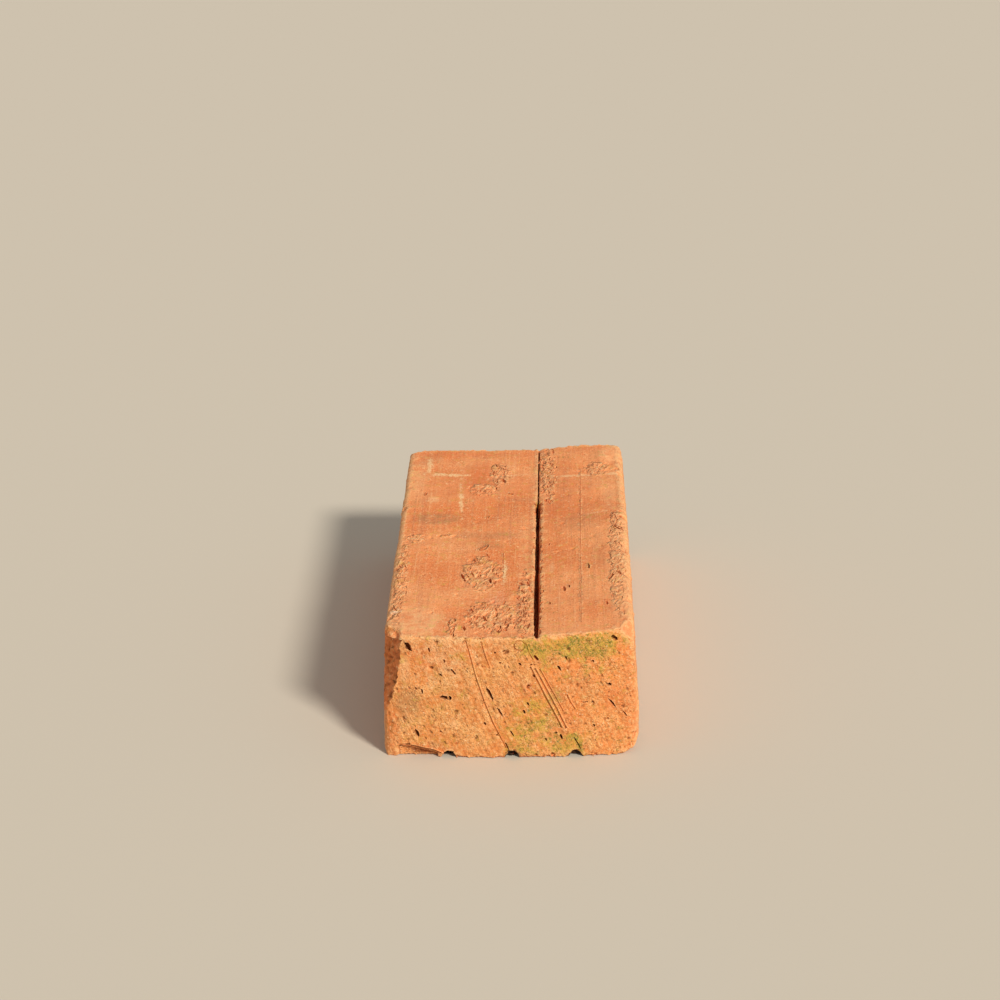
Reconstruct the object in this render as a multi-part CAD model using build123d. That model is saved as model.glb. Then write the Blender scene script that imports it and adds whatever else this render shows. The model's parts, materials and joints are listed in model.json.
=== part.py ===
"""Reclaimed red clay paving brick with a slit top bed and a keyed underside.

The clay was pushed through a die as a long column, so its cross-section is the same from end to end: an
underside with keying grooves, rounded arrises, and a top bed that a knife slit into a broad bed and a narrow
strip. The strip leans in towards the slit. Wires cut the column to length, which bowed the ends and smeared
clay over the slit's front end. Handling broke corners and nicked arrises after firing.

Millimetres. X runs across the brick, Y along its length away from the front end, and Z up. The origin is
under the middle of the brick, on the surface that it lies on.
"""

from build123d import *
import os
from math import copysign, sqrt

# Body of the brick
LENGTH = 228.0  # between the furthest points of the two cut ends
WIDTH = 108.0  # across the foot, at the widest
BED_HEIGHT = 56.0  # from the underside to the broad bed
STRIP_RISE = 3.2  # how far the strip's outer arris stands above the broad bed
SIDE_LEAN = 3.2  # how far the strip's side leans in at its top
FOOT_HEIGHT = 14.0  # how far up that side stays upright

# Arrises that the die leaves along the length
BED_ARRIS_RADIUS = 2.6  # top left
STRIP_ARRIS_RADIUS = 3.4  # top right
LEFT_FOOT_RADIUS = 2.4
RIGHT_FOOT_RADIUS = 8.0

# Slit in the top bed
SLIT_OFFSET = 10.0  # from the middle of the brick to the slit's mouth
SLIT_DEPTH = 14.0
SLIT_TILT = 5.0  # degrees that the knife leaned, so that the root lies further left than the mouth
SLIT_WIDTH = 2.1  # along the open run, which starts at the front end
PINCHED_WIDTH = 0.9  # along the rest, where the clay closed up again
OPEN_RUN = 157.0
ROOT_ROUNDING = 0.45  # radius of each corner of the slit's root, as a share of the slit's width there
LIP = 0.4  # how wide the knife tore each edge of the slit
FRONT_SKIN = 1.6  # clay smeared over the slit's front end

# Keying grooves in the underside
GROOVE_COUNT = 3
GROOVE_PITCH = 27.0
GROOVE_MOUTH = 5.6
GROOVE_ROOT = 3.0
GROOVE_DEPTH = 3.0
GROOVE_CORNER_RADIUS = 0.9

# Wire-cut ends, seen from above
FRONT_BOW_RADIUS = 380.0
FRONT_BOW_APEX = -13.0  # where the front end stands furthest out, across the brick
BACK_BOW_RADIUS = 1500.0
BACK_BOW_APEX = 10.0

# Upright arrises between the ends and the sides
FRONT_LEFT_RADIUS = 3.0
FRONT_RIGHT_RADIUS = 7.0
BACK_LEFT_RADIUS = 6.0
BACK_RIGHT_RADIUS = 4.0

# Scallop that broke off the front left corner and runs out down its upright arris
SCALLOP_ACROSS = 6.8
SCALLOP_ALONG = 10.0
SCALLOP_DOWN = 33.0
SCALLOP_RADIUS = 12.0

# Small breaks of two other top corners: how far each runs across the brick, along it and down, and how
# hollow it is
FRONT_RIGHT_BREAK_ACROSS = 6.0
FRONT_RIGHT_BREAK_ALONG = 13.0
FRONT_RIGHT_BREAK_DOWN = 7.0
FRONT_RIGHT_BREAK_HOLLOW = 90.0
BACK_LEFT_BREAK_ACROSS = 6.0
BACK_LEFT_BREAK_ALONG = 5.0
BACK_LEFT_BREAK_DOWN = 3.0
BACK_LEFT_BREAK_HOLLOW = 40.0

# Flake off the front end's bottom arris, thicker at its outer end
FLAKE_OFFSET = -31.5  # from the middle of the brick to the flake's inner end
FLAKE_LENGTH = 17.0
FLAKE_OUTER_HEIGHT = 5.6
FLAKE_INNER_HEIGHT = 2.0
FLAKE_DEPTH = 1.7

# Shallow hollows where the clay tore as it left the die: place across the brick, distance from the front
# end, width and depth
BED_TEARS = [
    (-10.0, 21.0, 19.0, 0.7),
    (-15.0, 69.0, 17.0, 0.6),
    (3.0, 41.0, 9.0, 0.5),
    (-10.0, 190.0, 10.0, 0.5),
]

# Nicks in the top arrises: distance from the front end, length and depth
LEFT_NICKS = [(20.0, 9.0, 1.3), (31.0, 6.0, 0.9), (74.0, 7.0, 0.8), (148.0, 10.0, 1.1)]
RIGHT_NICKS = [(36.0, 10.0, 1.2), (63.0, 7.0, 1.0), (97.0, 12.0, 1.3), (131.0, 8.0, 1.0), (189.0, 9.0, 1.1)]


def front_end(x):
    """Distance along the brick of its bowed front end, at one place across the brick."""
    return FRONT_BOW_RADIUS - LENGTH / 2 - sqrt(FRONT_BOW_RADIUS**2 - (x - FRONT_BOW_APEX) ** 2)


def back_end(x):
    """The same for the back end, which is flatter."""
    return LENGTH / 2 - BACK_BOW_RADIUS + sqrt(BACK_BOW_RADIUS**2 - (x - BACK_BOW_APEX) ** 2)


def along_column(section):
    """Runs a section in the XZ plane through the whole brick and past both ends."""
    return extrude(section, amount=LENGTH, both=True)


def slot_section(mouth, root, depth, corner):
    """Section of a slot that narrows to a rounded root, with its mouth on the X axis and open above it."""
    corners = {
        (-mouth / 2, depth): 0,
        (-mouth / 2, 0): 0,
        (-root / 2, -depth): corner,
        (root / 2, -depth): corner,
        (mouth / 2, 0): 0,
        (mouth / 2, depth): 0,
    }
    return Plane.XZ * make_face(FilletPolyline(*corners, radius=list(corners.values()), close=True))


def column():
    """Clay column as it leaves the die, before the knife and the wires."""
    half = WIDTH / 2
    corners = {
        (-half, 0): LEFT_FOOT_RADIUS,
        (half, 0): min(RIGHT_FOOT_RADIUS, 0.9 * FOOT_HEIGHT),
        (half, FOOT_HEIGHT): 0,
        (half - SIDE_LEAN, BED_HEIGHT + STRIP_RISE): STRIP_ARRIS_RADIUS,
        (SLIT_OFFSET, BED_HEIGHT): 0,
        (-half, BED_HEIGHT): BED_ARRIS_RADIUS,
    }
    outline = FilletPolyline(*corners, radius=list(corners.values()), close=True)
    groove = Rot(180, 0, 0) * slot_section(GROOVE_MOUTH, GROOVE_ROOT, GROOVE_DEPTH, GROOVE_CORNER_RADIUS)
    first = -GROOVE_PITCH * (GROOVE_COUNT - 1) / 2
    grooves = [Pos(first + i * GROOVE_PITCH, 0, 0) * groove for i in range(GROOVE_COUNT)]
    return along_column(Plane.XZ * make_face(outline)) - [along_column(g) for g in grooves]


def cut_outline():
    """Outline seen from above: the sides that the die left, and the two ends that the wires left."""
    front = Pos(FRONT_BOW_APEX, FRONT_BOW_RADIUS - LENGTH / 2) * Circle(FRONT_BOW_RADIUS)
    back = Pos(BACK_BOW_APEX, LENGTH / 2 - BACK_BOW_RADIUS) * Circle(BACK_BOW_RADIUS)
    outline = Rectangle(WIDTH, 2 * LENGTH) & front & back
    half = WIDTH / 2
    arrises = {
        (-half, front_end(-half)): FRONT_LEFT_RADIUS,
        (half, front_end(half)): FRONT_RIGHT_RADIUS,
        (-half, back_end(-half)): BACK_LEFT_RADIUS,
        (half, back_end(half)): BACK_RIGHT_RADIUS,
    }
    for corner, radius in arrises.items():
        outline = fillet(outline.vertices().sort_by_distance((*corner, 0))[0], radius)
    return outline


def slit():
    """What the knife took out: an open run, a pinched run, and a torn lip along both."""
    start = front_end(SLIT_OFFSET) + FRONT_SKIN
    step = OPEN_RUN - LENGTH / 2
    open_run = slot_section(SLIT_WIDTH, SLIT_WIDTH, SLIT_DEPTH, ROOT_ROUNDING * SLIT_WIDTH)
    pinched_run = slot_section(PINCHED_WIDTH, PINCHED_WIDTH, SLIT_DEPTH, ROOT_ROUNDING * PINCHED_WIDTH)
    cuts = Pos(0, start, 0) * extrude(open_run, amount=start - step)
    cuts += Pos(0, step, 0) * extrude(pinched_run, amount=step - LENGTH)
    cuts = Rot(0, SLIT_TILT, 0) * cuts
    for width, near, far in [(SLIT_WIDTH, -LENGTH, step), (PINCHED_WIDTH, step, LENGTH)]:
        reach = width / 2 + LIP
        notch = Polyline((0, -reach), (-2 * reach, reach), (2 * reach, reach), close=True)
        cuts += Pos(0, near, 0) * extrude(Plane.XZ * make_face(notch), amount=near - far)
    return Pos(SLIT_OFFSET, 0, BED_HEIGHT) * cuts


def hollow_through(a, b, c, outside, radius):
    """Ball through three points whose centre lies on the outside of their plane."""
    to_a, to_b = a - c, b - c
    normal = to_a.cross(to_b)
    spread = normal.length**2
    middle = c + (to_b * to_a.length**2 - to_a * to_b.length**2).cross(normal) / (2 * spread)
    stand_off = sqrt(radius**2 - (a - middle).length ** 2)
    side = copysign(stand_off, (outside - middle).dot(normal))
    return Pos(*(middle + normal.normalized() * side)) * Sphere(radius)


def corner_break(corner, across, along, down, radius):
    """Shell-shaped break of a top corner, through a point on each of the three arrises that meet there."""
    inwards_x = Vector(-copysign(across, corner.X), 0, 0)
    inwards_y = Vector(0, -copysign(along, corner.Y), 0)
    inwards_z = Vector(0, 0, -down)
    return hollow_through(corner + inwards_x, corner + inwards_y, corner + inwards_z, corner, radius)


def scallop(corner, across, along, down, radius):
    """Round bar through two arrises of a top corner, which leans out and leaves the third one lower down."""
    a = corner + Vector(-copysign(across, corner.X), 0, 0)
    b = corner + Vector(0, -copysign(along, corner.Y), 0)
    middle = (a + b) / 2
    outwards = (b - a).cross(Vector(0, 0, 1)).normalized()
    if outwards.dot(corner - middle) < 0:
        outwards = -outwards
    half_chord = (b - a).length / 2
    radius = max(radius, 1.05 * half_chord)  # a round bar through both points is at least this thick
    top = middle + outwards * sqrt(radius**2 - half_chord**2)
    foot = corner - Vector(0, 0, down) + outwards * radius
    reach = 2 * down  # past the corner, and past the foot of the scallop
    return Plane(origin=foot, z_dir=top - foot) * Cylinder(radius, 2 * reach)


def chip(middle, outwards, length, depth):
    """Ball that takes a bite of one length and depth out of an arris or a face."""
    radius = (length**2 / 4 + depth**2) / (2 * depth)
    return Pos(*(middle + outwards.normalized() * (radius - depth))) * Sphere(radius)


def bed_tears():
    """What the die tore out of the broad bed."""
    tears = []
    for across, distance, width, depth in BED_TEARS:
        middle = Vector(across, distance - LENGTH / 2, BED_HEIGHT)
        tears.append(chip(middle, Vector(0, 0, 1), width, depth))
    return tears


def flake():
    """Thin slab off the front end, along its bottom arris."""
    inner, outer = FLAKE_OFFSET, FLAKE_OFFSET - FLAKE_LENGTH
    below = -FLAKE_INNER_HEIGHT
    corners = [(outer, below), (outer, FLAKE_OUTER_HEIGHT), (inner, FLAKE_INNER_HEIGHT), (inner, below)]
    face = Plane.XZ * make_face(Polyline(*corners, close=True))
    depth = front_end((inner + outer) / 2) + FLAKE_DEPTH
    return Pos(0, depth, 0) * extrude(face, amount=LENGTH)


def damage():
    """Everything that broke off after firing."""
    half = WIDTH / 2
    strip_top = BED_HEIGHT + STRIP_RISE
    strip_side = half - SIDE_LEAN
    breaks = [
        scallop(
            Vector(-half, front_end(-half), BED_HEIGHT),
            SCALLOP_ACROSS,
            SCALLOP_ALONG,
            SCALLOP_DOWN,
            SCALLOP_RADIUS,
        ),
        corner_break(
            Vector(strip_side, front_end(strip_side), strip_top),
            FRONT_RIGHT_BREAK_ACROSS,
            FRONT_RIGHT_BREAK_ALONG,
            FRONT_RIGHT_BREAK_DOWN,
            FRONT_RIGHT_BREAK_HOLLOW,
        ),
        corner_break(
            Vector(-half, back_end(-half), BED_HEIGHT),
            BACK_LEFT_BREAK_ACROSS,
            BACK_LEFT_BREAK_ALONG,
            BACK_LEFT_BREAK_DOWN,
            BACK_LEFT_BREAK_HOLLOW,
        ),
    ]
    inset = sqrt(2) - 1  # a rounded arris lies this share of its radius inside the sharp one
    nicks = []
    for distance, length, depth in LEFT_NICKS:
        arris = Vector(-half, distance - LENGTH / 2, BED_HEIGHT)
        nicks.append(chip(arris, Vector(-1, 0, 1), length, depth + inset * BED_ARRIS_RADIUS))
    for distance, length, depth in RIGHT_NICKS:
        arris = Vector(strip_side, distance - LENGTH / 2, strip_top)
        nicks.append(chip(arris, Vector(1, 0, 1), length, depth + inset * STRIP_ARRIS_RADIUS))
    return breaks + [flake()] + nicks


def brick():
    """The fired brick: one solid."""
    tall = 2 * (BED_HEIGHT + STRIP_RISE)
    cut = column() & extrude(cut_outline(), amount=tall, both=True)
    return (cut - slit()) - bed_tears() - damage()


os.makedirs("parts", exist_ok=True)
export_step(brick(), "parts/brick.step")
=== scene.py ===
import json
import random
from math import cos, pi, radians, sin

import bpy
import numpy as np
from mathutils import Matrix, Vector
from mathutils.bvhtree import BVHTree

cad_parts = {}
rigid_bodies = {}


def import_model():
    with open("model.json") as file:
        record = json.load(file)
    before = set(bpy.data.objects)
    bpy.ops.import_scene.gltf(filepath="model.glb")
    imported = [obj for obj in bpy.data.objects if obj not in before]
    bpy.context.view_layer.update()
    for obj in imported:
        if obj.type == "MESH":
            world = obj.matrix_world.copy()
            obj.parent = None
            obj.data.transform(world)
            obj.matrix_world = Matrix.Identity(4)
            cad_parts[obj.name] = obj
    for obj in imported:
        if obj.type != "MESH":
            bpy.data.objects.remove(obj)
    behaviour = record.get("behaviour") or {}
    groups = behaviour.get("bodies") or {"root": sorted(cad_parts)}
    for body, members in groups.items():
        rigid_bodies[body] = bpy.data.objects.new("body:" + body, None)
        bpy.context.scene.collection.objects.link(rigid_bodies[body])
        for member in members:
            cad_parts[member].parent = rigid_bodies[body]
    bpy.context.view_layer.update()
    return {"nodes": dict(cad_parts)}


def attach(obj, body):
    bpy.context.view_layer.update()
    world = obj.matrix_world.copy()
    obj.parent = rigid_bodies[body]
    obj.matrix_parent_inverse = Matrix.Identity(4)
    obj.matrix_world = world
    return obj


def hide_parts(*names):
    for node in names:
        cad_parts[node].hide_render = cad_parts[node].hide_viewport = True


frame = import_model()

MM = 0.001

# The camera stands low in front of the brick's front end and looks along it, a little down and a touch
# to the left. It is level from side to side.
CAMERA_PLACE = (14.1 * MM, -1126.9 * MM, 512.0 * MM)
CAMERA_DOWN = 21.26  # degrees below the horizon
CAMERA_LEFT = 1.09  # degrees
CAMERA_LENS = 95.7  # millimetres, on a 36 mm sensor

bpy.ops.object.camera_add(location=CAMERA_PLACE, rotation=(radians(90 - CAMERA_DOWN), 0, radians(CAMERA_LEFT)))
camera = bpy.context.object
camera.name = "camera"
camera.data.lens = CAMERA_LENS
camera.data.sensor_width = 36
bpy.context.scene.camera = camera


# The brick starts as the column of red clay that the die pressed and the wires cut, so its mesh is a
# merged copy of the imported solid. It is one piece, and everything below cuts, wears or colours it.
die_shape = frame["nodes"]["brick"]
die_skin = BVHTree.FromObject(die_shape, bpy.context.evaluated_depsgraph_get())


def only(piece):
    """Selects one piece and nothing else."""
    bpy.ops.object.select_all(action="DESELECT")
    piece.select_set(True)
    bpy.context.view_layer.objects.active = piece


def finish_with(piece, kind, **settings):
    """Adds one modifier to a piece and applies it."""
    only(piece)
    modifier = piece.modifiers.new(kind.lower(), kind)
    for name, value in settings.items():
        setattr(modifier, name, value)
    bpy.ops.object.modifier_apply(modifier=modifier.name)


def merge_doubles(piece):
    """Closes a mesh whose corners lie on each other but aren't joined."""
    only(piece)
    bpy.ops.object.mode_set(mode="EDIT")
    bpy.ops.mesh.select_all(action="SELECT")
    bpy.ops.mesh.remove_doubles(threshold=0.005 * MM)
    bpy.ops.mesh.normals_make_consistent(inside=False)
    bpy.ops.object.mode_set(mode="OBJECT")


brick = bpy.data.objects.new("fired_brick", die_shape.data.copy())
bpy.context.scene.collection.objects.link(brick)
merge_doubles(brick)

# Hollows are what air, grit and lost stones leave in clay. Each is a low, lumpy ball that is pressed
# into a face of the column and cut out of it, longer than it is wide, the way the clay ran.
LUMP_SHAPES = 5  # of the rounder kind, and as many of the rougher kind
FACES = {  # across, along and outwards, for each face of the brick
    "front": (Vector((1, 0, 0)), Vector((0, 0, 1)), Vector((0, -1, 0))),
    "back": (Vector((-1, 0, 0)), Vector((0, 0, 1)), Vector((0, 1, 0))),
    "top": (Vector((1, 0, 0)), Vector((0, 1, 0)), Vector((0, 0, 1))),
    "bottom": (Vector((1, 0, 0)), Vector((0, -1, 0)), Vector((0, 0, -1))),
    "left": (Vector((0, -1, 0)), Vector((0, 0, 1)), Vector((-1, 0, 0))),
    "right": (Vector((0, 1, 0)), Vector((0, 0, 1)), Vector((1, 0, 0))),
}
round_lumps, rough_lumps = [], []
for shape in range(LUMP_SHAPES):
    for lumps, unevenness in [(round_lumps, 0.2), (rough_lumps, 0.3)]:
        bpy.ops.mesh.primitive_ico_sphere_add(subdivisions=2, radius=1)
        bpy.ops.object.mode_set(mode="EDIT")
        bpy.ops.mesh.select_all(action="SELECT")
        bpy.ops.transform.vertex_random(offset=unevenness, uniform=1, normal=0, seed=shape + 1)
        bpy.ops.object.mode_set(mode="OBJECT")
        lumps.append(bpy.context.object)
cutters = []
chance = random.Random(11)
surface = die_skin  # what the lumps are set on


def skin_at(side, across, along):
    """Place on the surface, given in millimetres on one of the brick's faces."""
    u, v, out = FACES[side]
    start = u * across * MM + v * along * MM + out
    return surface.ray_cast(start, -out)[0]


def lump(side, across, along, length, width, depth, turn, sink=0.0, lumps=None, lean=0.0):
    """Sets one lumpy ball into a face. Turn is its long way, in degrees from the face's across direction."""
    place = skin_at(side, across, along)
    if place is None:
        return
    shape = chance.choice(lumps or rough_lumps)
    ball = bpy.data.objects.new("lump", shape.data.copy())
    axes = Matrix(FACES[side]).transposed().to_4x4()
    size = Matrix.Diagonal((length / 2 * MM, width / 2 * MM, depth * MM, 1))
    sunk = Matrix.Translation((0, 0, -sink * MM))
    roll = lean + chance.uniform(-0.2, 0.2)
    spin = Matrix.Rotation(radians(turn), 4, "Z") @ Matrix.Rotation(roll, 4, "X")
    ball.data.transform(Matrix.Translation(place) @ axes @ sunk @ spin @ size)
    bpy.context.scene.collection.objects.link(ball)
    cutters.append(ball)


def groove(side, radius, points, sink=0.0):
    """Lays a thin round bar on a face, through points and between them, sunk by so many millimetres."""
    followed = []
    for point, end in zip(points, points[1:]):
        followed += [Vector(point).lerp(Vector(end), quarter / 4) for quarter in range(4)]
    points = [*followed, points[-1]]
    below = FACES[side][2] * sink * MM
    bpy.ops.curve.primitive_nurbs_path_add()
    bar = bpy.context.object
    bar.data.splines.clear()
    run = bar.data.splines.new("NURBS")
    run.points.add(len(points) - 1)
    for point, (across, along) in zip(run.points, points):
        point.co = (*(skin_at(side, across, along) - below), 1)
    run.order_u = 3
    run.use_endpoint_u = True
    run.resolution_u = 6
    bar.data.bevel_depth = radius * MM
    bar.data.bevel_resolution = 1
    bar.data.use_fill_caps = True
    only(bar)
    bpy.ops.object.convert(target="MESH")
    merge_doubles(bar)
    cutters.append(bar)


def combine(operation, at_once=1000):
    """Cuts all waiting lumps and bars out of the brick, or adds them to it, so many at once."""
    while cutters:
        bpy.ops.object.select_all(action="DESELECT")
        for cutter in cutters[:at_once]:
            cutter.select_set(True)
        bpy.context.view_layer.objects.active = cutters[0]
        bpy.ops.object.join()
        joined = bpy.context.object
        corners = len(brick.data.vertices)
        finish_with(brick, "BOOLEAN", object=joined, operation=operation, solver="MANIFOLD")
        if len(brick.data.vertices) == corners:
            raise RuntimeError("the lumps and bars changed nothing: the brick's mesh has a hole")
        bpy.data.objects.remove(joined)
        del cutters[:at_once]


# The die dragged the top bed and tore it in places, and the torn clay lies in short slanting scales.
# Middle across and along, reach across and along, how many tears, their turn and how deep they go.
TEAR_SPACING = 1.3  # millimetres between the middles of tears, because the solver hangs on crowded ones
TORN_PATCHES = [
    (-14.5, -44.0, 9.0, 20.0, 52, 76, 1.2),
    (-9.0, -92.0, 12.5, 17.0, 84, 72, 1.6),
    (4.6, -78.0, 3.2, 36.0, 60, 95, 1.2),
    (-25.6, -102.0, 1.8, 12.0, 16, 85, 1.5),
    (-9.0, 78.0, 5.0, 16.0, 34, 80, 1.0),
    (-16.0, 58.0, 7.0, 8.0, 20, 60, 0.8),
    (15.0, 78.0, 3.6, 38.0, 76, 88, 0.9),
    (38.0, 82.0, 6.0, 9.0, 10, 12, 0.8),
    (45.6, -42.0, 4.2, 60.0, 60, 85, 0.8),
    (46.0, 12.0, 3.0, 12.0, 12, 110, 1.1),
    (-49.6, -60.0, 3.0, 50.0, 34, 90, 0.6),
    (-46.0, -4.0, 5.0, 6.0, 12, 40, 0.8),
]


def tear(share, widest, lean):
    """Tears every patch: a share of its tears, up to a width in millimetres, none of them close together."""
    placed = []
    for across, along, reach_x, reach_y, count, turn, deepest in TORN_PATCHES:
        for scale in range(int(share * count)):
            away, angle = chance.random() ** 0.6, chance.uniform(0, 2 * pi)
            place = Vector((across + reach_x * away * cos(angle), along + reach_y * away * sin(angle)))
            if any((place - other).length < TEAR_SPACING for other in placed):
                continue
            placed.append(place)
            length, width = chance.uniform(1.8, 4.4) * widest, chance.uniform(0.5, 1.0) * widest
            depth = chance.uniform(0.3, 0.8) * deepest
            lump("top", *place, length, width, depth, turn + chance.gauss(0, 14), lean=lean)


tear(0.5, 2.0, 0.0)

# Where the knife came out of the slit, it tore the strip's edge into teeth and crumbled the bed's.
# Distance from the slit, how many crumbs, how deep they go, their turn, and from and to along the brick.
SLIT_OFFSET = 10.0
SLIT_EDGES = [
    (1.5, 60, 1.3, 72, -112, 44),
    (-1.4, 22, 0.6, 92, -112, 44),
    (0.4, 10, 0.6, 90, 44, 108),
]


def crumble_slit(share):
    """Breaks crumbs off the slit's edges."""
    for side_of_slit, count, deepest, turn, near, far in SLIT_EDGES:
        for crumb in range(int(share * count)):
            place = (SLIT_OFFSET + side_of_slit + chance.gauss(0, 0.3), chance.uniform(near, far))
            depth = chance.uniform(0.4, deepest)
            length, width = chance.uniform(1.4, 4.0), chance.uniform(0.8, 1.4)
            lump("top", *place, length, width, depth, turn + chance.gauss(0, 16))


crumble_slit(0.6)

# Handling crumbled the front end's arrises. Its foot lost a thin flake and is ragged from side to side.
# How many crumbs, from and to across, up, in length, width and depth, and their turn.
CRUMBLED_ARRISES = [
    (70, (-50, 48), (0.2, 1.6), (1.6, 5.0), (1.0, 2.4), (0.4, 1.3), 0),
    (26, (-49, -31), (0.4, 4.5), (2.0, 6.0), (1.4, 2.6), (0.6, 1.4), -14),
    (60, (-52, -47.5), (0.4, 54), (1.6, 5.0), (1.0, 2.0), (0.4, 1.1), 90),
    (40, (45, 53), (0.4, 22), (1.6, 4.0), (1.0, 2.0), (0.4, 1.0), -50),
]
for count, *ranges, turn in CRUMBLED_ARRISES:
    for crumb in range(count):
        lump("front", *[chance.uniform(*ends) for ends in ranges], turn)

# The same clay shows on every face: pored, nicked and gritty here and there. Half as many specks as
# hollows. Face, how far across either way, from and to along it, and how many hollows.
SPECKLED_FACES = [
    ("left", 108, 3, 53, 150),
    ("right", 108, 3, 54, 150),
    ("back", 50, 3, 54, 90),
    ("bottom", 50, -108, 108, 90),
    ("front", 52, 3, 54, 70),
    ("top", 52, -112, 112, 60),
]
for side, reach, low, high, count in SPECKLED_FACES:
    for nick in range(count):
        length = chance.uniform(1.2, 3.2)
        place = (chance.uniform(-reach, reach), chance.uniform(low, high))
        lump(side, *place, length, chance.uniform(0.5, 0.9) * length, chance.uniform(0.5, 1.2), chance.uniform(0, 180))
combine("DIFFERENCE")

# The front left top corner ends in a crumbling crest of three clods. Three dark plugs fill the mouths of the three
# keying grooves as painted shade, standing in for the shadow inside them. Middle of each clod and its reach, in
# millimetres.
CREST_AND_SHADE_PLUGS = [
    ((-49.2, -106.2, 51.0), (4.4, 6.0, 3.8)),
    ((-51.2, -101.6, 51.8), (2.4, 5.0, 3.2)),
    ((-46.6, -109.0, 52.2), (3.0, 3.0, 2.8)),
    ((-27.0, -106.0, 0.9), (2.9, 4.6, 1.9)),
    ((0.0, -107.4, 0.9), (2.9, 4.6, 1.9)),
    ((27.0, -105.8, 0.9), (2.9, 4.6, 1.9)),
]
for middle, reach in CREST_AND_SHADE_PLUGS:
    clod = bpy.data.objects.new("clod", chance.choice(round_lumps).data.copy())
    clod.data.transform(Matrix.Diagonal((*[half * MM for half in reach], 1)))
    clod.data.transform(Matrix.Translation([place * MM for place in middle]))
    bpy.context.scene.collection.objects.link(clod)
    cutters.append(clod)

# Coarse sand and small stones in the clay stand proud of every face, where the softer clay between them
# was dragged down or has worn away.
for side, reach, low, high, count in SPECKLED_FACES:
    for speck in range(count // 2):
        length = chance.uniform(1.0, 2.4)
        place = (chance.uniform(-reach, reach), chance.uniform(low, high))
        lump(side, *place, length, chance.uniform(0.6, 0.9) * length, chance.uniform(0.35, 0.6), chance.uniform(0, 180))
combine("UNION")

# The surface is rebuilt as even grains and roughened the way fired clay is: sandy and dragged on the
# cut ends, finely streaked where it slid through the die, and crumbly along the arrises.
CLAY_GRAIN = 0.5 * MM  # size of the cells that the surface is rebuilt from
WIRE_SLANT = radians(-24)  # how far the wires' way leans from upright, turned about the brick's length
STRIP_LIFT = 1.1  # how far the strip lifts at its far end, in millimetres


def vertex_places(piece, what="co"):
    """Place of each vertex, or its normal."""
    numbers = np.empty(len(piece.data.vertices) * 3)
    piece.data.vertices.foreach_get(what, numbers)
    return numbers.reshape(-1, 3)


def skin_facts(piece):
    """Place and normal of each vertex, and the normal of the die's skin nearest to it."""
    places = vertex_places(piece)
    skin = np.array([die_skin.find_nearest(place)[1] for place in places])
    return places, vertex_places(piece, "normal"), skin


def standing_out(piece, places, normals, rounds):
    """How far each vertex stands out of the surface around it, in millimetres. Hollows are below zero."""
    ends = np.empty(len(piece.data.edges) * 2, dtype=np.int64)
    piece.data.edges.foreach_get("vertices", ends)
    first, second = ends.reshape(-1, 2).T
    neighbours = np.bincount(first, minlength=len(places)) + np.bincount(second, minlength=len(places))
    smooth = places.copy()
    for step in range(rounds):
        for axis in range(3):
            total = np.bincount(first, smooth[second, axis], len(places))
            total += np.bincount(second, smooth[first, axis], len(places))
            smooth[:, axis] = 0.5 * smooth[:, axis] + 0.5 * total / neighbours
    return ((places - smooth) * normals).sum(axis=1) / MM


def rise(values, low, high):
    """Runs smoothly from 0 at low to 1 at high."""
    share = np.clip((values - low) / (high - low), 0, 1)
    return share * share * (3 - 2 * share)


def dabs(places, skin, side, spots):
    """Soft ovals on one face: across, along, reach across, reach along, turn and strength of each."""
    u, v, out = (np.array(axis) for axis in FACES[side])
    across, along = places @ u / MM, places @ v / MM
    amount = np.zeros(len(places))
    for middle, height, reach_u, reach_v, turn, strength in spots:
        c, s = cos(radians(turn)), sin(radians(turn))
        near_u, near_v = across - middle, along - height
        away = np.hypot((near_u * c + near_v * s) / reach_u, (near_v * c - near_u * s) / reach_v)
        amount = np.maximum(amount, strength * (1 - rise(away, 0.5, 1.3)))
    return amount * rise(skin @ out, 0.3, 0.7)


def weigh(piece, name, values, steps=20):
    """Makes a vertex group from a number per vertex."""
    group = piece.vertex_groups.new(name=name)
    levels = np.rint(np.clip(values, 0, 1) * steps).astype(int)
    for level in range(1, steps + 1):
        group.add(np.nonzero(levels == level)[0].tolist(), level / steps, "REPLACE")


def roughen(name, size, depth, where="", stretch=(1, 1, 1), turn=(0, 0, 0), middle=0.5):
    """Moves the surface by a cloudy pattern, whose grain size and depth are in millimetres."""
    pattern = bpy.data.textures.new(name, "CLOUDS")
    pattern.noise_scale = size * MM
    pattern.noise_depth = 2
    bpy.ops.object.empty_add(location=(size * MM * 7.3, 0, 0), rotation=turn)
    guide = bpy.context.object
    guide.scale = stretch
    moves = dict(texture=pattern, texture_coords="OBJECT", texture_coords_object=guide, vertex_group=where)
    finish_with(brick, "DISPLACE", strength=depth * MM, mid_level=middle, **moves)
    bpy.data.objects.remove(guide)


finish_with(brick, "REMESH", mode="VOXEL", voxel_size=CLAY_GRAIN)
places, normals, skin = skin_facts(brick)
places[:, 2] += STRIP_LIFT * MM * dabs(places, skin, "top", [(33.0, 112.0, 17.0, 26.0, 0, 1.0)])
brick.data.vertices.foreach_set("co", places.ravel())
on_cut = rise(np.abs(skin[:, 1]), 0.5, 0.8)
patches = [(x, y, reach_x * 1.1, reach_y * 1.1, 0, 1.0) for x, y, reach_x, reach_y, *rest in TORN_PATCHES]
weigh(brick, "cut_end", on_cut)
weigh(brick, "slid", 1 - on_cut)
weigh(brick, "arris", rise(standing_out(brick, places, normals, 30), 0.1, 0.5))
weigh(brick, "torn", dabs(places, skin, "top", patches))

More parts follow.
